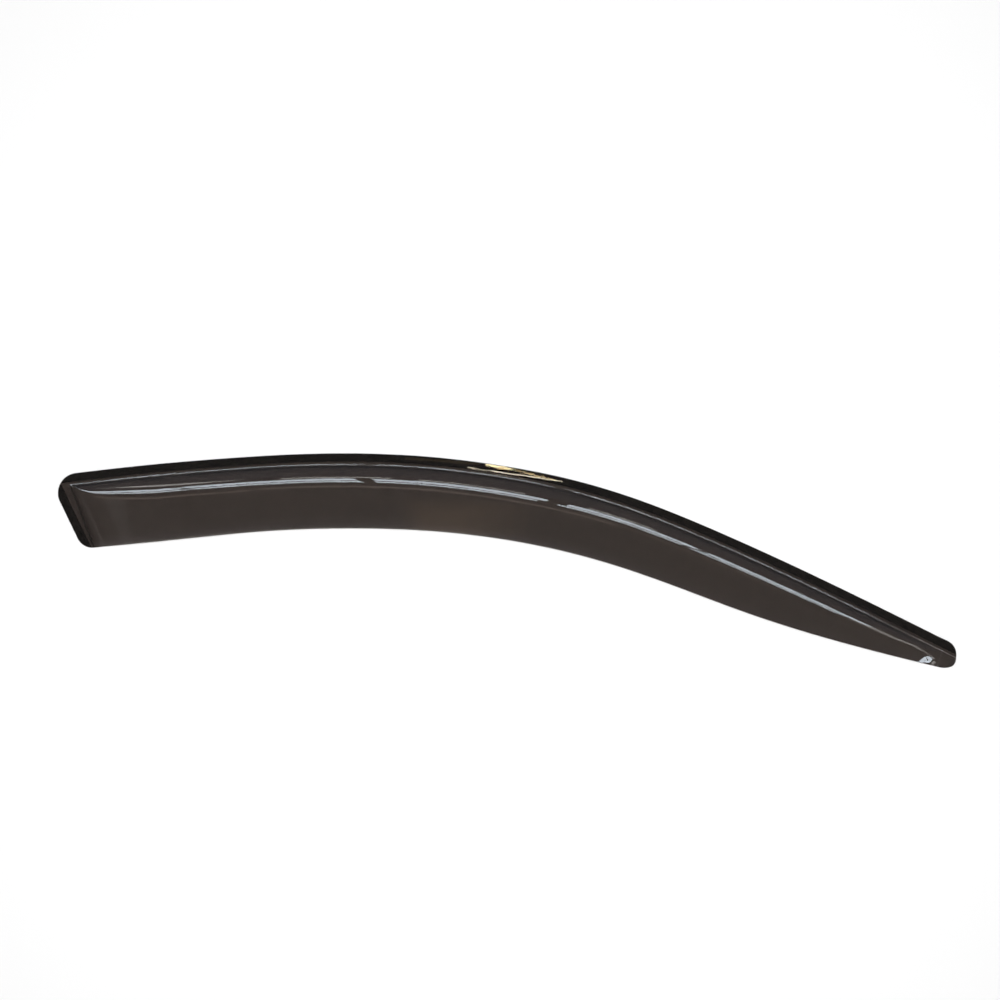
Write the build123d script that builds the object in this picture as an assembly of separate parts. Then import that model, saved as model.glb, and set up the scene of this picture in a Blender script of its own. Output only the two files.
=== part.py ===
from build123d import *
import math
import os

# Clip-free window rain deflector for a front side window: one formed sheet of
# smoked plastic, lying on the adhesive side of its flange.
# Millimetres. +X runs forward along the window, +Y up the door, +Z outward.

# ---------------------------------------------------------------- dimensions
SHEET = 2.5            # wall thickness of the formed sheet
TAPE_THICK = 1.0       # foam tape
LINER_THICK = 0.2      # release film on the tape
TAPE_WIDTH = 7.8       # tape strip
TAPE_INSET = 0.35      # tape edge behind the outline
TAPE_GAP = 1.0         # space between the two strips at the rear corner
FLANGE = 11.1          # flange width from the upper edge to the crease
FLANGE_PRESS = 0.05    # the back of the flange is pressed flat by this much

SHOULDER_ANGLE = 40.0  # slope of the shoulder above the flange
SHOULDER_RUN = 8.0     # straight part of the slope
SHOULDER_RADIUS = 27.6 # rounding of the shoulder into the face
CREASE_RADIUS = 4.5    # inside radius of the crease
FACE_ANGLE = 2.0       # the face opens slightly toward its lower edge

END_ANGLE = 38.0       # wall that closes the wide rear end
END_RUN = 4.0
END_RADIUS = 60.0
END_BLEND = 6.0

NOSE_ANGLE = 30.0      # wall that closes the narrow front end
NOSE_RUN = 1.5
NOSE_RADIUS = 34.0
NOSE_BLEND = 4.0
SKIRT_SLOPE = 0.27     # shallow lip that carries the crease to the front tip

TAPER_START = 33.0     # the section shrinks from here toward the front tip
TAPER_LENGTH = 400.0
TAPER_EVEN = 0.19      # even part of the shrinking
TAPER_DEPTH = 0.37     # part that comes in near the tip
TAPER_POWER = 8.0

REAR_TAPER_START = -349.0  # the section shrinks from here toward the rear end
REAR_TAPER_LENGTH = 72.0
REAR_TAPER_DEPTH = 0.40
REAR_TAPER_POWER = 1.35

REAR_TOP_RADIUS = 20.0
REAR_LOW_RADIUS = 16.0

# plan outline: points on the upper and the lower edge
TOP_EDGE = [(-435, 86.97), (-370, 94.43), (-290, 101.44), (-200, 106.52),
            (-150, 107.0), (-80, 103.83), (0, 93.86), (75, 78.15),
            (140, 57.56), (210, 29.11), (300, -11.79), (435, -77.94)]
LOW_EDGE = [(-410, 13.15), (-330, 20.89), (-240, 29.42), (-150, 32.15),
            (-80, 29.8), (0, 20.62), (80, 3.36), (160, -22.77),
            (230, -48.93), (320, -77.75), (432, -106.7)]
REAR_EDGE = [(-444.82, 53.93), (-430.42, 23.93)]
REAR_CREASE = [(-434.42, 67.93), (-414.12, 14.73)]
TIP_EDGE = [(439.78, -80.07), (445.38, -84.07), (448.38, -89.07),
            (449.18, -94.07), (448.58, -100.07), (446.58, -104.07),
            (443.68, -106.07), (439.38, -107.07)]
TIP_TOP_X = 433.0
TIP_LOW_X = 432.0
NOSE_POINT = (430.9, -100.6)
NOSE_DIRECTION = 20.0

FLANGE_TOP = LINER_THICK + TAPE_THICK + SHEET


# ---------------------------------------------------------------- edge curves
class EdgeCurve:
    """Smooth curve y(x) through points, straight beyond both ends."""

    def __init__(self, points):
        self.x = [float(p[0]) for p in points]
        self.y = [float(p[1]) for p in points]
        n = len(points)
        h = [self.x[i + 1] - self.x[i] for i in range(n - 1)]
        lower, diag, upper, rhs = [0.0] * n, [1.0] * n, [0.0] * n, [0.0] * n
        for i in range(1, n - 1):
            lower[i], diag[i], upper[i] = h[i - 1], 2 * (h[i - 1] + h[i]), h[i]
            rhs[i] = 6 * ((self.y[i + 1] - self.y[i]) / h[i]
                          - (self.y[i] - self.y[i - 1]) / h[i - 1])
        for i in range(1, n):
            f = lower[i] / diag[i - 1]
            diag[i] -= f * upper[i - 1]
            rhs[i] -= f * rhs[i - 1]
        m = [0.0] * n
        m[-1] = rhs[-1] / diag[-1]
        for i in range(n - 2, -1, -1):
            m[i] = (rhs[i] - upper[i] * m[i + 1]) / diag[i]
        self.m, self.h = m, h

    def _span(self, x):
        for i in range(len(self.h)):
            if x <= self.x[i + 1]:
                return i
        return len(self.h) - 1

    def value(self, x):
        if x < self.x[0]:
            return self.y[0] + self.slope(self.x[0]) * (x - self.x[0])
        if x > self.x[-1]:
            return self.y[-1] + self.slope(self.x[-1]) * (x - self.x[-1])
        i = self._span(x)
        h, a, b = self.h[i], self.x[i + 1] - x, x - self.x[i]
        return (self.m[i] * a ** 3 / (6 * h) + self.m[i + 1] * b ** 3 / (6 * h)
                + (self.y[i] / h - self.m[i] * h / 6) * a
                + (self.y[i + 1] / h - self.m[i + 1] * h / 6) * b)

    def slope(self, x):
        x = min(max(x, self.x[0]), self.x[-1])
        i = self._span(x)
        h, a, b = self.h[i], self.x[i + 1] - x, x - self.x[i]
        return (-self.m[i] * a * a / (2 * h) + self.m[i + 1] * b * b / (2 * h)
                + (self.y[i + 1] - self.y[i]) / h
                - (self.m[i + 1] - self.m[i]) * h / 6)

    def inset(self, x, distance):
        """Point at a distance square to the curve, below it."""
        s = self.slope(x)
        c = 1 / math.hypot(1, s)
        return x + distance * s * c, self.value(x) - distance * c


top_edge = EdgeCurve(TOP_EDGE)
low_edge = EdgeCurve(LOW_EDGE)


def below_top(x, y):
    """Square distance below the upper edge."""
    t = x
    for _ in range(6):
        s = top_edge.slope(t)
        t -= ((t - x) + (top_edge.value(t) - y) * s) / (1 + s * s)
    d = math.hypot(t - x, top_edge.value(t) - y)
    return d if top_edge.value(t) > y else -d


def unit(p, q):
    d = math.hypot(q[0] - p[0], q[1] - p[1])
    return (q[0] - p[0]) / d, (q[1] - p[1]) / d


def past_rear_crease(x, y):
    ux, uy = unit(*REAR_CREASE)
    return (x - REAR_CREASE[0][0]) * -uy + (y - REAR_CREASE[0][1]) * ux


def behind_nose(x, y):
    a = math.radians(NOSE_DIRECTION)
    return (x - NOSE_POINT[0]) * -math.cos(a) + (y - NOSE_POINT[1]) * math.sin(a)


# ---------------------------------------------------------------- sheet form
def taper(x):
    """Share of the full section at a place along the visor."""
    t = min(max((x - TAPER_START) / TAPER_LENGTH, 0.0), 1.05)
    r = min(max((REAR_TAPER_START - x) / REAR_TAPER_LENGTH, 0.0), 1.3)
    return (1.0 - TAPER_EVEN * t - TAPER_DEPTH * t ** TAPER_POWER
            - REAR_TAPER_DEPTH * r ** REAR_TAPER_POWER)


def rise(d, angle, run, radius, top_angle, depth):
    """Height over the flange at distance d past a crease: crease round, slope,
    rounding, then a flat; depth is the distance in from the outer surface."""
    a, f = math.radians(angle), math.radians(top_angle)
    cx, r = -CREASE_RADIUS * math.tan(a / 2), CREASE_RADIUS + depth
    if d <= cx:
        return -depth
    if d <= cx + r * math.sin(a):
        return CREASE_RADIUS - math.sqrt(r * r - (d - cx) ** 2)
    ox, oz = run + radius * math.sin(a), run * math.tan(a) - radius * math.cos(a)
    q = radius - depth
    if d <= ox - q * math.sin(a):
        return d * math.tan(a) - depth / math.cos(a)
    e = ox - q * math.sin(f)
    if d <= e:
        return oz + math.sqrt(q * q - (d - ox) ** 2)
    return oz + q * math.cos(f) + (d - e) * math.tan(f)


def soft_lower(a, b, blend):
    """Lower of two heights, rounded where they meet, sharp at zero height."""
    m = min(a, b)
    if m <= 0:
        return m
    k = blend * (1 - math.exp(-1.2 * m / blend))
    g = max(k - abs(a - b), 0.0)
    return m - g * g / (4 * k)


def height(x, y, depth):
    d = below_top(x, y) - FLANGE
    k = taper(x)
    shoulder = rise(d, SHOULDER_ANGLE, SHOULDER_RUN * k, SHOULDER_RADIUS * k,
                    FACE_ANGLE, depth) + depth
    rear = rise(past_rear_crease(x, y), END_ANGLE, END_RUN, END_RADIUS, 6.0,
                depth) + depth
    nose = rise(behind_nose(x, y), NOSE_ANGLE, NOSE_RUN, NOSE_RADIUS, 6.0,
                depth) + depth + SKIRT_SLOPE * max(d, 0.0)
    z = soft_lower(soft_lower(shoulder, rear, END_BLEND), nose, NOSE_BLEND)
    return FLANGE_TOP - depth + z


# ---------------------------------------------------------------- sections
MARGIN = 4.0
REAR_OUT = (-464.0, -427.6)      # ruling outside the rear edge
REAR_IN = (-440.2, -412.1)       # ruling along the rear crease
FRONT_OUT = 455.0

rulings = []
for i in (-1.0, -0.62, -0.38, -0.24, -0.16, -0.12, -0.08, -0.05, -0.02, 0.01, 0.04, 0.07):
    rulings.append((REAR_IN[0] + (REAR_IN[0] - REAR_OUT[0]) * i,
                    REAR_IN[1] + (REAR_IN[1] - REAR_OUT[1]) * i))
start = rulings[-1]
steps = [0.9, 2.0, 3.2, 4.6, 6.6, 9.4, 12.8, 16.6, 20.8, 25.6, 31, 37, 44, 52, 62]
steps += [62 + 22 * i for i in range(1, 34)]
steps += [800, 814, 826, 836, 845, 852, 858, 863, 867, 871, 875, 879, 884, 890]
span = FRONT_OUT - start[0]
for d in steps:
    f = d / span
    if f < 0.998:
        rulings.append((start[0] + d, start[1] + (FRONT_OUT - start[1]) * f))
rulings.append((FRONT_OUT, FRONT_OUT))

LEVELS = [3.0, 7.0, 8.8, 9.7, 10.2, 10.6, 11.0, 11.4, 11.9, 12.5, 13.3, 14.4, 16.0, 17.8,
          19.6, 21.4, 23.4, 25.6, 28.0, 30.6, 33.4, 36.4]
FACE_FRACTIONS = [0.25, 0.5, 0.75]


def ruling_points(xt, xb):
    tx, ty = xt, top_edge.value(xt) + MARGIN
    bx, by = xb, low_edge.value(xb) - MARGIN
    depth_end = below_top(bx, by)
    full = LEVELS[-1] - FLANGE
    room = (depth_end - FLANGE) * 0.72
    squeeze = min(1.0, room / full)
    pts = [(tx, ty)]
    last = 0.0
    for level in LEVELS:
        want = level if level <= FLANGE else FLANGE + (level - FLANGE) * squeeze
        lo, hi = last, 1.0
        for _ in range(48):
            mid = (lo + hi) / 2
            if below_top(tx + (bx - tx) * mid, ty + (by - ty) * mid) < want:
                lo = mid
            else:
                hi = mid
        last = (lo + hi) / 2
        pts.append((tx + (bx - tx) * last, ty + (by - ty) * last))
    for f in FACE_FRACTIONS:
        w = last + (1 - last) * f
        pts.append((tx + (bx - tx) * w, ty + (by - ty) * w))
    pts.append((bx, by))
    return pts


middle = ruling_points(*rulings[len(rulings) // 2])
walk = [0.0]
for p, q in zip(middle, middle[1:]):
    walk.append(walk[-1] + math.hypot(q[0] - p[0], q[1] - p[1]))
PARAMETERS = [w / walk[-1] for w in walk]

sections = []
for xt, xb in rulings:
    line = ruling_points(xt, xb)
    outer = [Vector(x, y, height(x, y, 0.0)) for x, y in line]
    inner = [Vector(x, y, height(x, y, SHEET + FLANGE_PRESS)) for x, y in reversed(line)]
    back = [1 - w for w in reversed(PARAMETERS)]
    sections.append(Wire([
        Edge.make_spline(outer, parameters=PARAMETERS),
        Edge.make_line(outer[-1], inner[0]),
        Edge.make_spline(inner, parameters=back),
        Edge.make_line(inner[-1], outer[0]),
    ]))
blank = Solid.make_loft(sections)


# ---------------------------------------------------------------- plan outline
def stations(x0, x1, n):
    return [x0 + (x1 - x0) * i / n for i in range(n + 1)]


def rear_corner(curve, side, inset):
    """Where the straight rear edge meets an edge curve, both moved inward."""
    ux, uy = unit(*REAR_EDGE)
    ax, ay = REAR_EDGE[0][0] - uy * inset, REAR_EDGE[0][1] + ux * inset
    x = ax
    for _ in range(60):
        px, py = curve.inset(x, side * inset)
        x += ax + (py - ay) * ux / uy - px
    return x


def plan(inset):
    """The plan outline as a face, moved inward by a distance."""
    x0, x1 = rear_corner(top_edge, 1, inset), rear_corner(low_edge, -1, inset)
    upper = [Vector(*top_edge.inset(x, inset), 0) for x in stations(x0, TIP_TOP_X, 36)]
    lower = [Vector(*low_edge.inset(x, -inset), 0) for x in stations(TIP_LOW_X, x1, 36)]
    ring = [(TIP_TOP_X, top_edge.value(TIP_TOP_X)), *TIP_EDGE,
            (TIP_LOW_X, low_edge.value(TIP_LOW_X))]
    tip = [upper[-1]]
    for p, q, r in zip(ring, ring[1:], ring[2:]):
        ux, uy = unit(p, r)
        tip.append(Vector(q[0] + uy * inset, q[1] - ux * inset, 0))
    tip.append(lower[0])
    top_line = Edge.make_spline(upper)
    low_line = Edge.make_spline(lower)
    tip_line = Edge.make_spline(tip, tangents=[
        Vector(1, top_edge.slope(TIP_TOP_X), 0),
        Vector(-1, -low_edge.slope(TIP_LOW_X), 0)])
    rear_line = Edge.make_line(lower[-1], upper[0])
    face = Face(Wire([top_line, tip_line, low_line, rear_line]))
    for radius, corner in ((REAR_TOP_RADIUS, upper[0]), (REAR_LOW_RADIUS, lower[-1])):
        face = face.fillet_2d(radius - inset,
                              [face.vertices().sort_by_distance(corner)[0]])
    return face


outline = plan(0.0)
flange_back = FLANGE_TOP - SHEET
cutter = extrude(outline, amount=60.0, dir=(0, 0, 1)).moved(Location((0, 0, flange_back)))
trimmed = (blank & cutter).solids()
print("shell solids", [round(v.volume, 1) for v in trimmed], "blank", round(blank.volume, 1), blank.is_valid)
shell = trimmed.sort_by(SortBy.VOLUME)[-1]

# ---------------------------------------------------------------- foam tape
inside = plan(TAPE_INSET)


def strip(thick, z):
    """Both tape strips of one thickness, their underside at z."""
    body = extrude(inside, amount=thick, dir=(0, 0, 1)).moved(Location((0, 0, z)))
    xs = stations(-470.0, 470.0, 40)
    upper = [Vector(x, top_edge.value(x) + 6, 0) for x in xs]
    lower = [Vector(*top_edge.inset(x, TAPE_INSET + TAPE_WIDTH), 0) for x in reversed(xs)]
    band = Face(Wire([
        Edge.make_spline(upper), Edge.make_line(upper[-1], lower[0]),
        Edge.make_spline(lower), Edge.make_line(lower[-1], upper[0])]))
    keep = extrude(band, amount=40, dir=(0, 0, 1)).moved(Location((0, 0, -10)))
    top = (body & keep).solids().sort_by(SortBy.VOLUME)[-1]

    limit = [Vector(*top_edge.inset(x, TAPE_INSET + TAPE_WIDTH + TAPE_GAP), 0)
             for x in stations(-500.0, -380.0, 10)]
    ux, uy = unit(*REAR_EDGE)
    w = TAPE_INSET + TAPE_WIDTH
    p = Vector(REAR_EDGE[0][0] - uy * w - ux * 60, REAR_EDGE[0][1] + ux * w - uy * 60, 0)
    q = Vector(REAR_EDGE[1][0] - uy * w + ux * 60, REAR_EDGE[1][1] + ux * w + uy * 60, 0)
    side = Face(Wire.make_polygon([p, q, Vector(q.X - 90, q.Y, 0), Vector(p.X - 90, p.Y, 0)]))
    under = Face(Wire([
        Edge.make_spline(limit),
        Edge.make_line(limit[-1], Vector(limit[-1].X, -60, 0)),
        Edge.make_line(Vector(limit[-1].X, -60, 0), Vector(limit[0].X, -60, 0)),
        Edge.make_line(Vector(limit[0].X, -60, 0), limit[0])]))
    block_a = extrude(side, amount=40, dir=(0, 0, 1)).moved(Location((0, 0, -10)))
    block_b = extrude(under, amount=40, dir=(0, 0, 1)).moved(Location((0, 0, -10)))
    end = ((body & block_a).solids()[0] & block_b).solids().sort_by(SortBy.VOLUME)[-1]
    return top, end


top_liner, end_liner = strip(LINER_THICK, 0.0)
top_tape, end_tape = strip(TAPE_THICK, LINER_THICK)

# ---------------------------------------------------------------- output
os.makedirs("parts", exist_ok=True)
for name, solid in (("visor_shell", shell), ("top_tape", top_tape),
                    ("end_tape", end_tape), ("top_liner", top_liner),
                    ("end_liner", end_liner)):
    export_step(solid, f"parts/{name}.step")
    box = solid.bounding_box()
    print(name, round(solid.volume, 1), solid.is_valid,
          [round(v, 3) for v in (*box.min, *box.max)])
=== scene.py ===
import math
import bmesh
import bpy
import numpy as np
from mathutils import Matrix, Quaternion, Vector


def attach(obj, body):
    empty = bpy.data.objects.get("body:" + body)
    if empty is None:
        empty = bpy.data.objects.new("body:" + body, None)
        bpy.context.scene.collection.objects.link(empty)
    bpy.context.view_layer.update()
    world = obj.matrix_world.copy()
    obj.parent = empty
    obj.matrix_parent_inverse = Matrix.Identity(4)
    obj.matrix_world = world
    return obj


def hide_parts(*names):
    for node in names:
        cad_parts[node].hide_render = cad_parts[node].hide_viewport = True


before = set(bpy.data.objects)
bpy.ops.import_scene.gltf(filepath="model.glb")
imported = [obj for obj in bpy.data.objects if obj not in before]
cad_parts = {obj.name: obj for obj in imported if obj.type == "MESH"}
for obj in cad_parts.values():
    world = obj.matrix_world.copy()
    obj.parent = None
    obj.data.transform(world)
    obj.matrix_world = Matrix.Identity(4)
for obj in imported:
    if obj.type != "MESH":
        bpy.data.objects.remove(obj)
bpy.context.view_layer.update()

# ------------------------------------------------------------------ dimensions
# Millimetres, in the part's own frame: +X forward, +Y up the door, +Z outward.
SHEET = 2.5
TAPE_THICK = 1.0
LINER_THICK = 0.2
TAPE_WIDTH = 7.8
TAPE_INSET = 0.35
TAPE_GAP = 1.0
FLANGE = 11.1
SHOULDER_ANGLE, SHOULDER_RUN, SHOULDER_RADIUS = 40.0, 8.0, 27.6
CREASE_RADIUS = 4.5
FACE_ANGLE = 2.0
END_ANGLE, END_RUN, END_RADIUS, END_BLEND = 38.0, 4.0, 60.0, 6.0
NOSE_ANGLE, NOSE_RUN, NOSE_RADIUS, NOSE_BLEND = 30.0, 1.5, 34.0, 4.0
SKIRT_SLOPE = 0.27
TAPER_START, TAPER_LENGTH, TAPER_EVEN, TAPER_DEPTH, TAPER_POWER = 33.0, 400.0, 0.19, 0.37, 8.0
REAR_TAPER_START, REAR_TAPER_LENGTH, REAR_TAPER_DEPTH, REAR_TAPER_POWER = -349.0, 72.0, 0.40, 1.35
REAR_TOP_RADIUS, REAR_LOW_RADIUS = 20.0, 16.0
EDGE_ROUND = 0.4

TOP_EDGE = [(-435, 86.97), (-370, 94.43), (-290, 101.44), (-200, 106.52),
            (-150, 107.0), (-80, 103.83), (0, 93.86), (75, 78.15),
            (140, 57.56), (210, 29.11), (300, -11.79), (435, -77.94)]
LOW_EDGE = [(-410, 13.15), (-330, 20.89), (-240, 29.42), (-150, 32.15),
            (-80, 29.8), (0, 20.62), (80, 3.36), (160, -22.77),
            (230, -48.93), (320, -77.75), (432, -106.7)]
REAR_EDGE = [(-444.82, 53.93), (-430.42, 23.93)]
REAR_CREASE = [(-434.42, 67.93), (-414.12, 14.73)]
TIP_EDGE = [(439.78, -80.07), (445.38, -84.07), (448.38, -89.07),
            (449.18, -94.07), (448.58, -100.07), (446.58, -104.07),
            (443.68, -106.07), (439.38, -107.07)]
TIP_TOP_X, TIP_LOW_X = 433.0, 432.0
NOSE_POINT, NOSE_DIRECTION = (430.9, -100.6), 20.0
FLANGE_TOP = LINER_THICK + TAPE_THICK + SHEET
FLANGE_BACK = LINER_THICK + TAPE_THICK


# ------------------------------------------------------------------ edge curves
class EdgeCurve:
    """Smooth curve y(x) through points, straight beyond both ends."""

    def __init__(self, points):
        self.x = np.array([p[0] for p in points], float)
        self.y = np.array([p[1] for p in points], float)
        n, h = len(self.x), np.diff(self.x)
        a, b = np.eye(n), np.zeros(n)
        for i in range(1, n - 1):
            a[i, i - 1:i + 2] = h[i - 1], 2 * (h[i - 1] + h[i]), h[i]
            b[i] = 6 * ((self.y[i + 1] - self.y[i]) / h[i]
                        - (self.y[i] - self.y[i - 1]) / h[i - 1])
        self.m, self.h = np.linalg.solve(a, b), h

    def both(self, x):
        x = np.asarray(x, float)
        q = np.clip(x, self.x[0], self.x[-1])
        i = np.clip(np.searchsorted(self.x, q, side="left") - 1, 0, len(self.h) - 1)
        h, a, b = self.h[i], self.x[i + 1] - q, q - self.x[i]
        m0, m1, y0, y1 = self.m[i], self.m[i + 1], self.y[i], self.y[i + 1]
        v = (m0 * a ** 3 + m1 * b ** 3) / (6 * h) + (y0 / h - m0 * h / 6) * a + (y1 / h - m1 * h / 6) * b
        s = (-m0 * a * a + m1 * b * b) / (2 * h) + (y1 - y0) / h - (m1 - m0) * h / 6
        return v + s * (x - q), s

    def value(self, x):
        return self.both(x)[0]

    def foot(self, x, y):
        t = np.array(x, float)
        for _ in range(6):
            v, s = self.both(t)
            t = t - ((t - x) + (v - y) * s) / (1 + s * s)
        return t

    def below(self, x, y):
        """Square distance below the curve."""
        t = self.foot(x, y)
        v = self.value(t)
        d = np.hypot(t - x, v - y)
        return np.where(v > y, d, -d)


top_edge, low_edge = EdgeCurve(TOP_EDGE), EdgeCurve(LOW_EDGE)


def unit(p, q):
    d = math.hypot(q[0] - p[0], q[1] - p[1])
    return (q[0] - p[0]) / d, (q[1] - p[1]) / d


def past_line(line, x, y):
    ux, uy = unit(*line)
    return (x - line[0][0]) * -uy + (y - line[0][1]) * ux


def behind_nose(x, y):
    a = math.radians(NOSE_DIRECTION)
    return (x - NOSE_POINT[0]) * -math.cos(a) + (y - NOSE_POINT[1]) * math.sin(a)


# ------------------------------------------------------------------ sheet form
def taper(x):
    t = np.clip((x - TAPER_START) / TAPER_LENGTH, 0.0, 1.05)
    r = np.clip((REAR_TAPER_START - x) / REAR_TAPER_LENGTH, 0.0, 1.3)
    return 1.0 - TAPER_EVEN * t - TAPER_DEPTH * t ** TAPER_POWER - REAR_TAPER_DEPTH * r ** REAR_TAPER_POWER


def past_crease(x, y):
    """Square distance past the long crease."""
    return top_edge.below(x, y) - FLANGE


def rise(d, angle, run, radius, top_angle, depth):
    a, f = math.radians(angle), math.radians(top_angle)
    d = np.asarray(d, float)
    cx, r = -CREASE_RADIUS * math.tan(a / 2), CREASE_RADIUS + depth
    ox, oz = run + radius * math.sin(a), run * math.tan(a) - radius * math.cos(a)
    q = radius - depth
    e = ox - q * math.sin(f)
    crease = CREASE_RADIUS - np.sqrt(np.maximum(r * r - (d - cx) ** 2, 0.0))
    slope = d * math.tan(a) - depth / math.cos(a)
    bend = oz + np.sqrt(np.maximum(q * q - (d - ox) ** 2, 0.0))
    flat = oz + q * math.cos(f) + (d - e) * math.tan(f)
    z = np.where(d <= cx, -depth, crease)
    z = np.where(d > cx + r * math.sin(a), slope, z)
    z = np.where(d > ox - q * math.sin(a), bend, z)
    return np.where(d > e, flat, z)


def soft_lower(a, b, blend):
    m = np.minimum(a, b)
    k = blend * (1 - np.exp(-1.2 * np.maximum(m, 0.0) / blend))
    g = np.maximum(k - np.abs(a - b), 0.0)
    return np.where(m <= 0, m, m - g * g / (4 * np.maximum(k, 1e-9)))


def height(x, y, depth):
    x, y = np.asarray(x, float), np.asarray(y, float)
    d = past_crease(x, y)
    k = taper(x)
    shoulder = rise(d, SHOULDER_ANGLE, SHOULDER_RUN * k, SHOULDER_RADIUS * k,
                    FACE_ANGLE, depth) + depth
    rear = rise(past_line(REAR_CREASE, x, y), END_ANGLE, END_RUN, END_RADIUS, 6.0, depth) + depth
    nose = rise(behind_nose(x, y), NOSE_ANGLE, NOSE_RUN, NOSE_RADIUS, 6.0, depth) + depth \
        + SKIRT_SLOPE * np.maximum(d, 0.0)
    z = soft_lower(soft_lower(shoulder, rear, END_BLEND), nose, NOSE_BLEND)
    return FLANGE_TOP - depth + z


def slope_normal(x, y, depth):
    e = 0.06
    gx = (height(x + e, y, depth) - height(x - e, y, depth)) / (2 * e)
    gy = (height(x, y + e, depth) - height(x, y - e, depth)) / (2 * e)
    n = np.stack([-gx, -gy, np.ones_like(gx)], -1)
    return n / np.linalg.norm(n, axis=-1, keepdims=True)


# ------------------------------------------------------------------ plan outline
def corner_arc(curve, side, radius):
    """Round between the straight rear edge and an edge curve, from the rear edge on."""
    ux, uy = unit(*REAR_EDGE)
    nx, ny = -uy, ux
    ax, ay = REAR_EDGE[0]
    lo, hi = (-40.0, 20.0) if side > 0 else (20.0, 60.0)
    for _ in range(60):
        t = (lo + hi) / 2
        cx, cy = ax + ux * t + nx * radius, ay + uy * t + ny * radius
        d = float(side * curve.below(cx, cy)) - radius
        if (d > 0) == (side > 0):
            hi = t
        else:
            lo = t
    f = float(curve.foot(cx, cy))
    g = float(curve.value(f))
    a0 = math.atan2(-ny, -nx)
    a1 = math.atan2(g - cy, f - cx)
    turn = (a1 - a0 + math.pi) % (2 * math.pi) - math.pi
    angles = a0 + turn * np.linspace(0, 1, 120)
    return np.stack([cx + radius * np.cos(angles), cy + radius * np.sin(angles)], -1), f


def tip_curve():
    pts = np.array([(TIP_TOP_X, float(top_edge.value(TIP_TOP_X))), *TIP_EDGE,
                    (TIP_LOW_X, float(low_edge.value(TIP_LOW_X)))])
    t = np.concatenate([[0], np.cumsum(np.hypot(*np.diff(pts, axis=0).T))])
    n, h = len(t), np.diff(t)
    s0 = top_edge.both(TIP_TOP_X)[1]
    s1 = low_edge.both(TIP_LOW_X)[1]
    first = np.array([1.0, s0]) / math.hypot(1, s0)
    last = -np.array([1.0, s1]) / math.hypot(1, s1)
    a, b = np.zeros((n, n)), np.zeros((n, 2))
    a[0, 0], a[0, 1] = 2 * h[0], h[0]
    b[0] = 6 * ((pts[1] - pts[0]) / h[0] - first)
    a[-1, -1], a[-1, -2] = 2 * h[-1], h[-1]
    b[-1] = 6 * (last - (pts[-1] - pts[-2]) / h[-1])
    for i in range(1, n - 1):
        a[i, i - 1:i + 2] = h[i - 1], 2 * (h[i - 1] + h[i]), h[i]
        b[i] = 6 * ((pts[i + 1] - pts[i]) / h[i] - (pts[i] - pts[i - 1]) / h[i - 1])
    m = np.linalg.solve(a, b)
    q = np.linspace(0, t[-1], 500)
    i = np.clip(np.searchsorted(t, q) - 1, 0, n - 2)
    u, v, w = (t[i + 1] - q)[:, None], (q - t[i])[:, None], h[i][:, None]
    return (m[i] * u ** 3 + m[i + 1] * v ** 3) / (6 * w) \
        + (pts[i] / w - m[i] * w / 6) * u + (pts[i + 1] / w - m[i + 1] * w / 6) * v


arc_top, foot_top = corner_arc(top_edge, 1, REAR_TOP_RADIUS)
arc_low, foot_low = corner_arc(low_edge, -1, REAR_LOW_RADIUS)
tip = tip_curve()
xs = np.linspace(foot_top, TIP_TOP_X, 1500)
upper_side = np.stack([xs, top_edge.value(xs)], -1)
xs = np.linspace(foot_low, TIP_LOW_X, 1500)
lower_side = np.stack([xs, low_edge.value(xs)], -1)
split_a = int(np.argmin(np.abs(tip[:, 1] + 91.0) + (tip[:, 0] < 446) * 99))
split_b = int(np.argmin(np.abs(tip[:, 1] + 98.0) + (tip[:, 0] < 446) * 99))


class Chain:
    """A run of the outline, read by length along it, with its inward normal."""

    def __init__(self, pts, inward):
        keep = np.concatenate([[True], np.hypot(*np.diff(pts, axis=0).T) > 1e-6])
        self.p = pts[keep]
        self.s = np.concatenate([[0], np.cumsum(np.hypot(*np.diff(self.p, axis=0).T))])
        g = np.gradient(self.p, self.s, axis=0)
        g /= np.linalg.norm(g, axis=1, keepdims=True)
        self.n = np.stack([g[:, 1], -g[:, 0]], -1) * inward
        self.length = self.s[-1]

    def at(self, s):
        p = np.stack([np.interp(s, self.s, self.p[:, k]) for k in (0, 1)], -1)
        n = np.stack([np.interp(s, self.s, self.n[:, k]) for k in (0, 1)], -1)
        return p, n / np.linalg.norm(n, axis=1, keepdims=True)

    def where(self, x):
        """Length at which a long edge passes x."""
        i = np.argsort(self.p[:, 0])
        return float(np.interp(x, self.p[i, 0], self.s[i]))


upper = Chain(np.vstack([arc_top, upper_side[1:], tip[1:split_a + 1]]), 1)
lower = Chain(np.vstack([arc_low, lower_side[1:], tip[:split_b - 1:-1][1:]]), -1)
front = Chain(tip[split_a:split_b + 1], 1)


# ------------------------------------------------------------------ shell mesh
def graded(length, spans):
    """Lengths along a run, spaced as wanted: spans are (end, spacing)."""
    out, s = [0.0], 0.0
    for end, step in spans:
        n = max(1, round((end - s) / step))
        out += list(s + (end - s) * np.arange(1, n + 1) / n)
        s = end
    return np.array(out) / out[-1] * length


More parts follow.
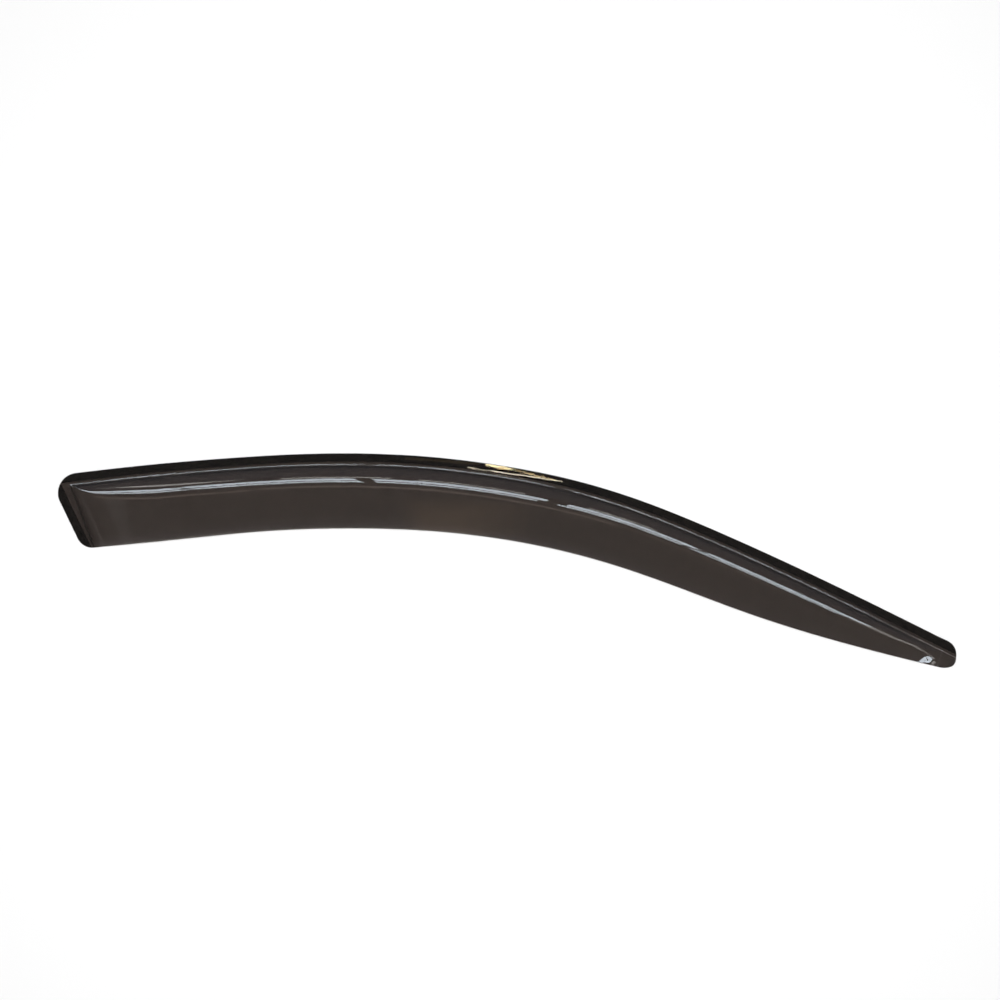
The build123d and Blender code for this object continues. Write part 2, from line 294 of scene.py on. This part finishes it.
L = upper.length
cols = graded(L, [(1.2, 0.2), (8, 0.6), (46, 0.8), (110, 1.6), (L - 120, 3.4),
                  (L - 60, 1.8), (L - 8, 0.9), (L - 1.2, 0.5), (L, 0.2)])
keys_u = [0.0, arc_top.shape[0] and float(upper.s[119]), upper.where(-395), upper.where(0), upper.where(300),
          upper.where(420), L]
keys_l = [0.0, float(lower.s[119]), lower.where(-374), lower.where(8), lower.where(302),
          lower.where(420), lower.length]
cols_low = np.interp(cols, keys_u, keys_l)
NI, NJ = len(cols), 92

pu, nu = upper.at(cols)
pl, nl = lower.at(cols_low)
pu_in, pl_in = pu + nu * EDGE_ROUND, pl + nl * EDGE_ROUND

fine = np.linspace(0, 1, 500)
gx = np.zeros((NI, NJ))
gy = np.zeros((NI, NJ))
for i in range(NI):
    x = pu_in[i, 0] + (pl_in[i, 0] - pu_in[i, 0]) * fine
    y = pu_in[i, 1] + (pl_in[i, 1] - pu_in[i, 1]) * fine
    span = math.hypot(x[-1] - x[0], y[-1] - y[0])
    d = past_crease(x, y)
    k = float(taper(x[0]))
    want = np.full_like(d, 2.0)
    want = np.where((d > -14) & (d < 30 * k), 0.75, want)
    want = np.where(np.abs(d - 0.4) < 2.2, 0.24, want)
    ends = np.minimum(fine, 1 - fine) * span
    want = np.minimum(want, 0.3 + ends * 0.35)
    c = np.concatenate([[0], np.cumsum(0.5 * (1 / want[1:] + 1 / want[:-1]))])
    w = np.interp(np.linspace(0, c[-1], NJ), c, fine)
    gx[i] = pu_in[i, 0] + (pl_in[i, 0] - pu_in[i, 0]) * w
    gy[i] = pu_in[i, 1] + (pl_in[i, 1] - pu_in[i, 1]) * w
    if i == NI - 1:
        s = np.linspace(0, front.length, NJ)
        pf, nf = front.at(s)
        nf[0], nf[-1] = nu[-1], nl[-1]
        gx[i], gy[i] = (pf + nf * EDGE_ROUND).T

outer_z = height(gx, gy, 0.0)
inner_z = np.maximum(height(gx, gy, SHEET + 0.05), FLANGE_BACK)
outer_n = slope_normal(gx, gy, 0.0)
inner_n = -slope_normal(gx, gy, SHEET + 0.05)

verts = np.concatenate([np.stack([gx, gy, outer_z], -1).reshape(-1, 3),
                        np.stack([gx, gy, inner_z], -1).reshape(-1, 3)])
normals = np.concatenate([outer_n.reshape(-1, 3), inner_n.reshape(-1, 3)])
idx = np.arange(NI * NJ).reshape(NI, NJ)
quads = np.stack([idx[:-1, :-1], idx[:-1, 1:], idx[1:, 1:], idx[1:, :-1]], -1).reshape(-1, 4)
faces = [quads, quads[:, ::-1] + NI * NJ]

# rim: the rounded edge that joins the outer and the inner side
ring = np.concatenate([idx[:, 0], idx[-1, 1:-1], idx[::-1, -1], idx[0, -2:0:-1]])
pf, nf = front.at(np.linspace(0, front.length, NJ))
ux, uy = unit(*REAR_EDGE)
rear_n = np.tile([-uy, ux], (NJ, 1))
ring_n = np.concatenate([nu, nf[1:-1], nl[::-1], rear_n[-2:0:-1]])
ring_xy = verts[ring, :2] - ring_n * EDGE_ROUND
zo, zi = verts[ring, 2], verts[ring + NI * NJ, 2]
steps = 5
loops, loop_n = [], []
for k in range(1, steps + 1):
    f = math.pi / 2 * k / steps
    loops.append(np.column_stack([ring_xy + ring_n * EDGE_ROUND * (1 - math.sin(f)),
                                  zo - EDGE_ROUND * (1 - math.cos(f))]))
    loop_n.append(np.column_stack([-ring_n * math.sin(f), np.full(len(ring), math.cos(f))]))
for k in range(steps, 0, -1):
    f = math.pi / 2 * k / steps
    loops.append(np.column_stack([ring_xy + ring_n * EDGE_ROUND * (1 - math.sin(f)),
                                  zi + EDGE_ROUND * (1 - math.cos(f))]))
    loop_n.append(np.column_stack([-ring_n * math.sin(f), np.full(len(ring), -math.cos(f))]))
base = len(verts)
R = len(ring)
ids = [ring] + [base + R * k + np.arange(R) for k in range(len(loops))] + [ring + NI * NJ]
verts = np.concatenate([verts, *loops])
normals = np.concatenate([normals, *loop_n])
for a, b in zip(ids, ids[1:]):
    faces.append(np.stack([a, np.roll(a, -1), np.roll(b, -1), b], -1))
faces = np.concatenate(faces)


def mesh_object(name, verts_mm, faces, normals=None, smooth=True):
    me = bpy.data.meshes.new(name)
    me.from_pydata((np.asarray(verts_mm) / 1000.0).tolist(), [], np.asarray(faces).tolist())
    me.validate()
    me.polygons.foreach_set("use_smooth", [smooth] * len(me.polygons))
    if normals is not None:
        me.normals_split_custom_set_from_vertices(normals.tolist())
    me.update()
    ob = bpy.data.objects.new(name, me)
    bpy.context.scene.collection.objects.link(ob)
    return ob


shell = mesh_object("smoked_shell", verts, faces, normals)

# where tape backs the flange: 1 on the band, 0 elsewhere
d_top = top_edge.below(verts[:, 0], verts[:, 1])
d_rear = past_line(REAR_EDGE, verts[:, 0], verts[:, 1])
band = 1 / (1 + np.exp(np.clip((np.minimum(d_top, d_rear) - 8.6) * 4, -60.0, 60.0)))


def hump(v, middle, half):
    return np.exp(-((v - middle) / half) ** 2)


# painted shade: colour darkened just past the long and end creases and at the cut edge of the tip and of the
# flange, where shade falls on the sheet
d_long, d_end = past_crease(verts[:, 0], verts[:, 1]), past_line(REAR_CREASE, verts[:, 0], verts[:, 1])
light_shade_paint = 0.45 * hump(d_long, 2.6, 1.1) / (1 + np.exp(-(d_end - 4.0))) / (1 + np.exp((verts[:, 0] - 400.0) / 14.0))
light_shade_paint = np.maximum(light_shade_paint, 0.85 * hump(d_end, 0.5, 0.75) / (1 + np.exp(-2.0 * (d_long - 0.5))))
at_edge = np.zeros(len(verts))
at_edge[ring] = at_edge[ring + NI * NJ] = at_edge[base:] = 1.0
light_shade_paint = np.maximum(light_shade_paint, 0.8 * at_edge * (verts[:, 0] > 408) * (d_long > 3))
light_shade_paint = np.maximum(light_shade_paint, 0.6 * at_edge * (d_top < 2.0))
# painted highlight along the crease where it runs out flat over the tip, and painted light toward the open
# lower edge where light reaches under the sheet
d_low = -low_edge.below(verts[:, 0], verts[:, 1])
light_shade_paint = 0.2 + 0.8 * light_shade_paint - 0.2 * hump(d_long, 0.1, 0.3) / (1 + np.exp((398.0 - verts[:, 0]) / 4.0)) \
    - 0.05 * np.exp(-np.maximum(d_low, 0.0) / 3.5) / (1 + np.exp((verts[:, 0] - 100.0) / 60.0)) \
    / (1 + np.exp(-(d_end - 6.0)))
light_shade_paint = np.maximum(light_shade_paint, 0.0)
for label, value in (("taped", band), ("painted_light_and_shade", light_shade_paint), ("across", d_top), ("along", verts[:, 0])):
    att = shell.data.attributes.new(label, "FLOAT", "POINT")
    att.data.foreach_set("value", value.astype(np.float32))


# ------------------------------------------------------------------ tape and film
def strip_mesh(name, edge, z0, z1, chamfer):
    """A long strip between two matching side lines, with softened upper edges."""
    a, b = (np.array(e, float) for e in edge)
    n = len(a)
    across = np.array([0.0, 0.02, 0.06, 0.2, 0.4, 0.6, 0.8, 0.94, 0.98, 1.0])
    soft = np.array([1.0, 0.35, 0.0, 0, 0, 0, 0, 0.0, 0.35, 1.0])
    m = len(across)
    pointed = np.hypot(*(b - a).T) < 1e-6
    top_v, low_v = [], []
    for w, s in zip(across, soft):
        p = a + (b - a) * w
        drop = chamfer * np.where(pointed, 1.0, s)
        top_v.append(np.column_stack([p, z1 - drop]))
        low_v.append(np.column_stack([p, z0 + drop * 0.5]))
    v = np.concatenate([np.stack(top_v, 1).reshape(-1, 3), np.stack(low_v, 1).reshape(-1, 3)])
    i = np.arange(n * m).reshape(n, m)
    q = np.stack([i[:-1, :-1], i[1:, :-1], i[1:, 1:], i[:-1, 1:]], -1).reshape(-1, 4)
    o = n * m
    f = [q, q[:, ::-1] + o]
    loop = np.concatenate([i[:, 0], i[-1, 1:-1], i[::-1, -1], i[0, -2:0:-1]])
    nxt = np.roll(loop, -1)
    f.append(np.stack([nxt, loop, loop + o, nxt + o], -1))
    ob = mesh_object(name, v, np.concatenate(f), smooth=False)
    # close the pointed ends and turn every face outward
    bm = bmesh.new()
    bm.from_mesh(ob.data)
    bmesh.ops.remove_doubles(bm, verts=bm.verts, dist=1e-7)
    bmesh.ops.dissolve_degenerate(bm, edges=bm.edges, dist=1e-7)
    bmesh.ops.recalc_face_normals(bm, faces=bm.faces)
    bm.to_mesh(ob.data)
    bm.free()
    return ob


def top_strip_edges(inset, n=520):
    """Side lines of the long strip, trimmed by the rounded ends."""
    w0, w1 = TAPE_INSET + inset, TAPE_INSET + TAPE_WIDTH - inset
    ring_u = Chain(np.vstack([arc_top, upper_side[1:], tip[1:]]), 1)
    p, nn = ring_u.at(np.linspace(0, ring_u.length, 6000))
    p = p + nn * w0
    inside = top_edge.below(p[:, 0], p[:, 1]) <= w1 + 1e-6
    a = p[inside]
    s = np.concatenate([[0], np.cumsum(np.hypot(*np.diff(a, axis=0).T))])
    t = np.linspace(0, 1, n)
    t = t + 0.0
    # closer together at the trimmed ends
    t = 0.5 - 0.5 * np.cos(np.pi * (0.12 + 0.76 * t))
    t = (t - t[0]) / (t[-1] - t[0])
    a = np.stack([np.interp(t * s[-1], s, a[:, k]) for k in (0, 1)], -1)
    f0, f1 = float(top_edge.foot(*a[0])), float(top_edge.foot(*a[-1]))
    foot = f0 + (f1 - f0) * t
    v, sl = top_edge.both(foot)
    c = 1 / np.hypot(1, sl)
    b = np.stack([foot + w1 * sl * c, v - w1 * c], -1)
    b[0], b[-1] = a[0], a[-1]
    return a, b


def end_strip_edges(inset, n=120):
    w0, w1 = TAPE_INSET + inset, TAPE_INSET + TAPE_WIDTH - inset
    low = Chain(np.vstack([arc_top[::-1], arc_low]), -1)
    p, nn = low.at(np.linspace(0, low.length, 4000))
    p = p + nn * w0
    keep = (top_edge.below(p[:, 0], p[:, 1]) >= TAPE_INSET + TAPE_WIDTH + TAPE_GAP + inset) \
        & (past_line(REAR_EDGE, p[:, 0], p[:, 1]) <= w1 + 1e-6)
    a = p[keep]
    s = np.concatenate([[0], np.cumsum(np.hypot(*np.diff(a, axis=0).T))])
    t = np.linspace(0, 1, n)
    a = np.stack([np.interp(t * s[-1], s, a[:, k]) for k in (0, 1)], -1)
    ux, uy = unit(*REAR_EDGE)
    ox, oy = REAR_EDGE[0][0] - uy * w1, REAR_EDGE[0][1] + ux * w1
    along = (a[:, 0] - ox) * ux + (a[:, 1] - oy) * uy
    first = along[0]
    for _ in range(40):
        qx, qy = ox + ux * first, oy + uy * first
        first += (TAPE_INSET + TAPE_WIDTH + TAPE_GAP + inset - float(top_edge.below(qx, qy))) * 0.8
    run = np.interp(t, [0, 1], [first, along[-1]])
    b = np.stack([ox + ux * run, oy + uy * run], -1)
    b[-1] = a[-1]
    return a, b


tape_top = strip_mesh("foam_tape_top", top_strip_edges(0.0), LINER_THICK, FLANGE_BACK - 0.03, 0.12)
tape_end = strip_mesh("foam_tape_end", end_strip_edges(0.0), LINER_THICK, FLANGE_BACK - 0.03, 0.12)
film_top = strip_mesh("release_film_top", top_strip_edges(0.0), 0.0, LINER_THICK - 0.01, 0.03)
film_end = strip_mesh("release_film_end", end_strip_edges(0.0), 0.0, LINER_THICK - 0.01, 0.03)


# ------------------------------------------------------------------ materials
def new_material(name):
    m = bpy.data.materials.new(name)
    m.use_nodes = True
    nt = m.node_tree
    return m, nt, nt.nodes["Principled BSDF"]


def add(nt, kind, **values):
    n = nt.nodes.new(kind)
    for k, v in values.items():
        if k in n.inputs:
            n.inputs[k].default_value = v
        else:
            setattr(n, k, v)
    return n


def smoked_sheet():
    m, nt, p = new_material("smoked_sheet")
    p.inputs["Transmission Weight"].default_value = 1.0
    p.inputs["IOR"].default_value = 1.49
    # the ramp gives the sheet's smoke tint at 0.2, painted light toward 0 and painted shade toward 1
    tint_and_painted_light = add(nt, "ShaderNodeValToRGB")
    tint_and_painted_light.color_ramp.elements[0].color = (0.70, 0.70, 0.70, 1)
    tint_and_painted_light.color_ramp.elements[1].color = (0.014, 0.012, 0.011, 1)
    tint_and_painted_light.color_ramp.elements.new(0.2).color = (0.235, 0.212, 0.198, 1)
    painted_light_and_shade = add(nt, "ShaderNodeAttribute", attribute_name="painted_light_and_shade")
    nt.links.new(painted_light_and_shade.outputs["Fac"], tint_and_painted_light.inputs["Fac"])
    nt.links.new(tint_and_painted_light.outputs["Color"], p.inputs["Base Color"])
    co = add(nt, "ShaderNodeTexCoord")
    # long soft waves left by forming, and streaks along the flange where it is taped
    long = add(nt, "ShaderNodeTexNoise", Scale=38.0, Detail=2.0, Roughness=0.5)
    fine = add(nt, "ShaderNodeTexNoise", Scale=1.0, Detail=2.0, Roughness=0.55)
    nt.links.new(co.outputs["Object"], long.inputs["Vector"])
    place = add(nt, "ShaderNodeCombineXYZ")
    for label, size, axis in (("along", 0.05, "X"), ("across", 0.34, "Y")):
        read = add(nt, "ShaderNodeAttribute", attribute_name=label)
        times = add(nt, "ShaderNodeMath", operation="MULTIPLY")
        times.inputs[1].default_value = size
        nt.links.new(read.outputs["Fac"], times.inputs[0])
        nt.links.new(times.outputs[0], place.inputs[axis])
    nt.links.new(place.outputs["Vector"], fine.inputs["Vector"])
    tape = add(nt, "ShaderNodeAttribute", attribute_name="taped")
    scale = add(nt, "ShaderNodeMath", operation="MULTIPLY")
    nt.links.new(fine.outputs["Fac"], scale.inputs[0])
    nt.links.new(tape.outputs["Fac"], scale.inputs[1])
    bump_a = add(nt, "ShaderNodeBump", Strength=1.0, Distance=0.000006)
    bump_b = add(nt, "ShaderNodeBump", Strength=1.0, Distance=0.0000004)
    nt.links.new(long.outputs["Fac"], bump_a.inputs["Height"])
    nt.links.new(scale.outputs[0], bump_b.inputs["Height"])
    nt.links.new(bump_a.outputs["Normal"], bump_b.inputs["Normal"])
    nt.links.new(bump_b.outputs["Normal"], p.inputs["Normal"])
    # faint haze that varies over the surface
    haze = add(nt, "ShaderNodeTexNoise", Scale=90.0, Detail=5.0, Roughness=0.6)
    nt.links.new(co.outputs["Object"], haze.inputs["Vector"])
    span = add(nt, "ShaderNodeMapRange")
    span.inputs["From Min"].default_value = 0.3
    span.inputs["From Max"].default_value = 0.7
    span.inputs["To Min"].default_value = 0.006
    span.inputs["To Max"].default_value = 0.013
    nt.links.new(haze.outputs["Fac"], span.inputs["Value"])
    nt.links.new(span.outputs["Result"], p.inputs["Roughness"])
    v = add(nt, "ShaderNodeVolumeAbsorption", Density=200.0)
    v.inputs["Color"].default_value = (0.579, 0.516, 0.490, 1.0)
    nt.links.new(v.outputs["Volume"], nt.nodes["Material Output"].inputs["Volume"])
    return m


def foam():
    m, nt, p = new_material("foam_tape")
    co = add(nt, "ShaderNodeTexCoord")
    cells = add(nt, "ShaderNodeTexVoronoi", Scale=2600.0)
    tone = add(nt, "ShaderNodeTexNoise", Scale=140.0, Detail=4.0)
    nt.links.new(co.outputs["Object"], cells.inputs["Vector"])
    nt.links.new(co.outputs["Object"], tone.inputs["Vector"])
    ramp = add(nt, "ShaderNodeValToRGB")
    ramp.color_ramp.elements[0].color = (0.006, 0.006, 0.0065, 1)
    ramp.color_ramp.elements[1].color = (0.016, 0.016, 0.016, 1)
    nt.links.new(tone.outputs["Fac"], ramp.inputs["Fac"])
    nt.links.new(ramp.outputs["Color"], p.inputs["Base Color"])
    bump = add(nt, "ShaderNodeBump", Strength=0.5, Distance=0.0002)
    nt.links.new(cells.outputs["Distance"], bump.inputs["Height"])
    nt.links.new(bump.outputs["Normal"], p.inputs["Normal"])
    p.inputs["Roughness"].default_value = 0.85
    p.inputs["Specular IOR Level"].default_value = 0.3
    return m


def film():
    m, nt, p = new_material("release_film")
    co = add(nt, "ShaderNodeTexCoord")
    tone = add(nt, "ShaderNodeTexNoise", Scale=60.0, Detail=3.0)
    nt.links.new(co.outputs["Object"], tone.inputs["Vector"])
    ramp = add(nt, "ShaderNodeValToRGB")
    ramp.color_ramp.elements[0].color = (0.46, 0.022, 0.018, 1)
    ramp.color_ramp.elements[1].color = (0.60, 0.045, 0.035, 1)
    nt.links.new(tone.outputs["Fac"], ramp.inputs["Fac"])
    nt.links.new(ramp.outputs["Color"], p.inputs["Base Color"])
    crinkle = add(nt, "ShaderNodeTexNoise", Scale=400.0, Detail=3.0)
    nt.links.new(co.outputs["Object"], crinkle.inputs["Vector"])
    bump = add(nt, "ShaderNodeBump", Strength=0.12, Distance=0.0003)
    nt.links.new(crinkle.outputs["Fac"], bump.inputs["Height"])
    nt.links.new(bump.outputs["Normal"], p.inputs["Normal"])
    p.inputs["Roughness"].default_value = 0.32
    return m


shell.data.materials.append(smoked_sheet())
foam_mat, film_mat = foam(), film()
for ob, mat in ((tape_top, foam_mat), (tape_end, foam_mat), (film_top, film_mat), (film_end, film_mat)):
    ob.data.materials.append(mat)

for ob, node, slot in ((shell, "visor_shell", "smoked_sheet"), (tape_top, "top_tape", "foam_tape"),
                       (tape_end, "end_tape", "foam_tape"), (film_top, "top_liner", "release_film"),
                       (film_end, "end_liner", "release_film")):
    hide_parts(node)
    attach(ob, "root")

# ------------------------------------------------------------------ floor
floor_me = bpy.data.meshes.new("floor")
S = 6.0
floor_me.from_pydata([(-S, -S, 0), (S, -S, 0), (S, S, 0), (-S, S, 0)], [], [(0, 1, 2, 3)])
floor = bpy.data.objects.new("floor", floor_me)
floor.location = (0, 0, -0.0002)
bpy.context.scene.collection.objects.link(floor)
fm, nt, p = new_material("pale_floor")
tone = add(nt, "ShaderNodeTexNoise", Scale=7.0, Detail=2.0)
ramp = add(nt, "ShaderNodeValToRGB")
ramp.color_ramp.elements[0].color = (0.86, 0.86, 0.86, 1)
ramp.color_ramp.elements[1].color = (0.90, 0.90, 0.90, 1)
nt.links.new(tone.outputs["Fac"], ramp.inputs["Fac"])
nt.links.new(ramp.outputs["Color"], p.inputs["Base Color"])
p.inputs["Roughness"].default_value = 0.9
p.inputs["Specular IOR Level"].default_value = 0.0
floor_me.materials.append(fm)

# ------------------------------------------------------------------ light
# An even pale surround shines through the sheet; mirror rays meet a darker room.
world = bpy.data.worlds.new("studio")
bpy.context.scene.world = world
world.use_nodes = True
wt = world.node_tree
bg = wt.nodes["Background"]
bg.inputs["Color"].default_value = (1.0, 1.0, 1.0, 1.0)
path = add(wt, "ShaderNodeLightPath")
through = add(wt, "ShaderNodeMath", operation="MULTIPLY_ADD")
through.inputs[1].default_value = 1.38
through.inputs[2].default_value = 0.20
direct = add(wt, "ShaderNodeMath", operation="MULTIPLY_ADD")
direct.inputs[1].default_value = 0.65
mirror = add(wt, "ShaderNodeMath", operation="MULTIPLY_ADD")
mirror.inputs[1].default_value = -0.11
wt.links.new(path.outputs["Is Transmission Ray"], through.inputs[0])
wt.links.new(path.outputs["Is Camera Ray"], direct.inputs[0])
wt.links.new(through.outputs[0], direct.inputs[2])
wt.links.new(path.outputs["Is Glossy Ray"], mirror.inputs[0])
wt.links.new(direct.outputs[0], mirror.inputs[2])
wt.links.new(mirror.outputs[0], bg.inputs["Strength"])


def lamp(name, place, target, width, depth, radiance, color, turn=0.0):
    li = bpy.data.lights.new(name, "AREA")
    li.shape = "RECTANGLE"
    li.size, li.size_y = width, depth
    li.energy = radiance * math.pi * width * depth
    li.color = color
    ob = bpy.data.objects.new(name, li)
    bpy.context.scene.collection.objects.link(ob)
    ob.location = place
    aim = (Vector(target) - Vector(place)).to_track_quat("-Z", "Y")
    ob.rotation_euler = (aim @ Quaternion((0, 0, 1), math.radians(turn))).to_euler()
    ob.visible_camera = False
    ob.visible_transmission = False
    return ob


def panel(name, x0, x1, y0, y1, radiance, color, turn=0.0, z=2.2):
    """A level panel over the table, shining down; it shows in the gloss only."""
    x, y = (x0 + x1) / 2, (y0 + y1) / 2
    ob = lamp(name, (x, y, z), (x, y, 0.0), abs(x1 - x0), abs(y1 - y0), radiance, color, turn)
    ob.visible_diffuse = False
    return ob


def strip(name, start, end, width, radiance, color, z=2.2):
    """A narrow level panel between two points."""
    x, y = (start[0] + end[0]) / 2, (start[1] + end[1]) / 2
    half = math.hypot(end[0] - start[0], end[1] - start[1]) / 2
    return panel(name, x - half, x + half, y - width / 2, y + width / 2, radiance, color,
                 math.degrees(math.atan2(end[1] - start[1], end[0] - start[0])), z)


def window(name, x0, x1, z0, z1, radiance, color, turn=0.0, y=3.0):
    """An upright panel on the wall behind the part; it shows in the gloss only."""
    x, z = (x0 + x1) / 2, (z0 + z1) / 2
    ob = lamp(name, (x, y, z), (x, 0.0, z), abs(x1 - x0), abs(z1 - z0), radiance, color, turn)
    ob.visible_diffuse = False
    return ob


COOL, DAY, WARM = (0.82, 0.91, 1.0), (1.0, 0.97, 0.93), (1.0, 0.80, 0.70)
GOLD, PALE = (1.0, 0.74, 0.38), (1.0, 0.87, 0.68)
# two rows of cool windows on the wall behind the part, a dim sill below them and a bluish wall
for n, (x0, x1) in enumerate(((-3.5, -1.085), (-1.06, -0.319), (-0.249, 0.695), (0.86, 1.795), (1.84, 2.61))):
    window("row_high_%d" % n, x0, x1, 3.66, 4.33, 12.0, COOL)
for n, (x0, x1) in enumerate(((-3.5, -1.03), (-1.005, -0.314), (-0.226, 0.765), (0.91, 1.805), (1.85, 2.61))):
    window("row_low_%d" % n, x0, x1, 2.50, 3.30, 12.0, COOL)
window("row_end", 2.61, 3.0, 2.6, 3.0, 4.0, DAY)
window("row_end_high", 2.61, 2.95, 3.1, 4.0, 3.2, DAY)
for n, (x0, x1) in enumerate(((-0.62, -0.11), (0.03, 0.60), (1.04, 1.53))):
    window("sill_%d" % n, x0, x1, 1.85, 2.10, 6.0, DAY)
window("sill_left", -1.325, -0.655, 1.26, 1.46, 6.0, DAY, -61.0)
window("wall", -4.0, 6.0, 0.2, 2.0, 0.12, (0.25, 0.55, 1.0), y=3.5)
# the row carried on round the narrow end
strip("turn_a", (2.37, 2.47), (1.96, 1.54), 0.075, 3.2, DAY)
strip("turn_b", (1.96, 1.54), (1.80, 1.17), 0.07, 3.2, DAY)
strip("turn_c", (1.80, 1.19), (1.83, 0.96), 0.08, 3.2, DAY)
strip("turn_d", (1.82, 0.975), (2.27, 0.566), 0.14, 3.6, DAY)
strip("turn_e", (2.27, 0.566), (2.75, 0.26), 0.24, 5.0, DAY)
strip("turn_f", (2.05, 0.052), (3.45, -0.005), 0.04, 5.0, DAY)
# a faint warm line overhead
panel("faint_left", -1.4, -0.47, 0.40, 0.64, 1.25, WARM)
panel("faint_mid", -0.47, 0.42, 0.56, 0.82, 1.25, WARM)
panel("faint_right", 0.42, 0.95, 0.68, 0.93, 0.65, WARM)
# soft golden patch on the face, stronger toward its middle
for n, (x0, x1, y0, y1) in enumerate(((-0.165, 0.070, 0.148, 0.216), (-0.152, 0.045, 0.149, 0.209),
                                      (-0.143, 0.015, 0.150, 0.202), (-0.135, -0.015, 0.151, 0.196),
                                      (-0.126, -0.045, 0.153, 0.189))):
    panel("haze_%d" % n, x0, x1, y0, y1, 0.10, (1.0, 0.66, 0.40), z=2.2 - 0.01 * n)
# cards that the two closed ends mirror: a crescent with a dark bar in it, and dim side cards
for n, (x0, y0, x1, y1, w) in enumerate((
        (1.119, -0.056, 1.197, 0.017, 0.016), (1.204, 0.0095, 1.309, 0.1095, 0.04),
        (1.185, 0.008, 1.31, 0.038, 0.024), (1.29, 0.042, 1.53, 0.062, 0.034),
        (1.313, 0.107, 1.684, 0.523, 0.05), (1.30, 0.095, 1.42, 0.095, 0.08),
        (1.37, 0.165, 1.42, 0.165, 0.06), (1.40, 0.225, 1.435, 0.225, 0.06),
        (1.525, 0.077, 2.126, 0.136, 0.06), (1.487, 0.14, 2.12, 0.14, 0.07), (1.497, 0.205, 2.113, 0.205, 0.07),
        (1.50, 0.27, 2.105, 0.27, 0.07), (1.52, 0.335, 2.09, 0.335, 0.07), (1.58, 0.40, 2.03, 0.40, 0.07),
        (1.63, 0.46, 1.965, 0.46, 0.06), (1.68, 0.51, 1.91, 0.51, 0.05), (2.079, 0.322, 1.891, 0.499, 0.05))):
    strip("right_card_%d" % n, (x0, y0), (x1, y1), w, 15.5, COOL)
panel("left_card_a", -4.8, -2.9, -2.0, 0.4, 0.22, DAY)
panel("left_card_b", -1.13, -0.98, -0.6, 0.35, 0.22, DAY)
# small golden streaks on the flat flange, each laid from a few thin lines
strip("glint_core_a", (-0.0320, 0.1325), (0.0060, 0.1263), 0.0020, 32.0, (1.0, 0.86, 0.56), 3.0)
strip("glint_core_b", (-0.0365, 0.1308), (0.0179, 0.1220), 0.0022, 34.0, (1.0, 0.84, 0.50), 3.001)
strip("glint_core_c", (-0.0250, 0.1267), (0.0120, 0.1207), 0.0018, 22.0, (1.0, 0.72, 0.34), 3.002)
strip("glint_long_a", (-0.0711, 0.1250), (0.1177, 0.0974), 0.0013, 22.0, PALE, 3.003)
strip("glint_long_b", (-0.0200, 0.1183), (0.0800, 0.1037), 0.0011, 14.0, PALE, 3.004)
strip("glint_short", (0.0349, 0.1152), (0.1069, 0.0998), 0.0013, 22.0, GOLD, 3.005)
strip("glint_tail", (0.0189, 0.1215), (0.0629, 0.1115), 0.0016, 10.0, GOLD, 3.006)
strip("glint_glow", (-0.197, 0.1445), (-0.0471, 0.1325), 0.005, 0.38, GOLD, 3.007)
overhead = lamp("overhead", (0.0, 0.05, 2.6), (0.0, 0.05, 0.0), 0.5, 0.5, 90.0, (1.0, 1.0, 1.0))
overhead.visible_glossy = False

# ------------------------------------------------------------------ camera
cam = bpy.data.cameras.new("camera")
cam.sensor_width = 36.0
cam.lens = 107.87
cam_ob = bpy.data.objects.new("camera", cam)
bpy.context.scene.collection.objects.link(cam_ob)
cam_ob.location = (-0.00712, 0.06043, 3.0)
cam_ob.rotation_euler = (0.0, 0.0, 0.0)
bpy.context.scene.camera = cam_ob
bpy.context.scene.view_settings.view_transform = "Standard"
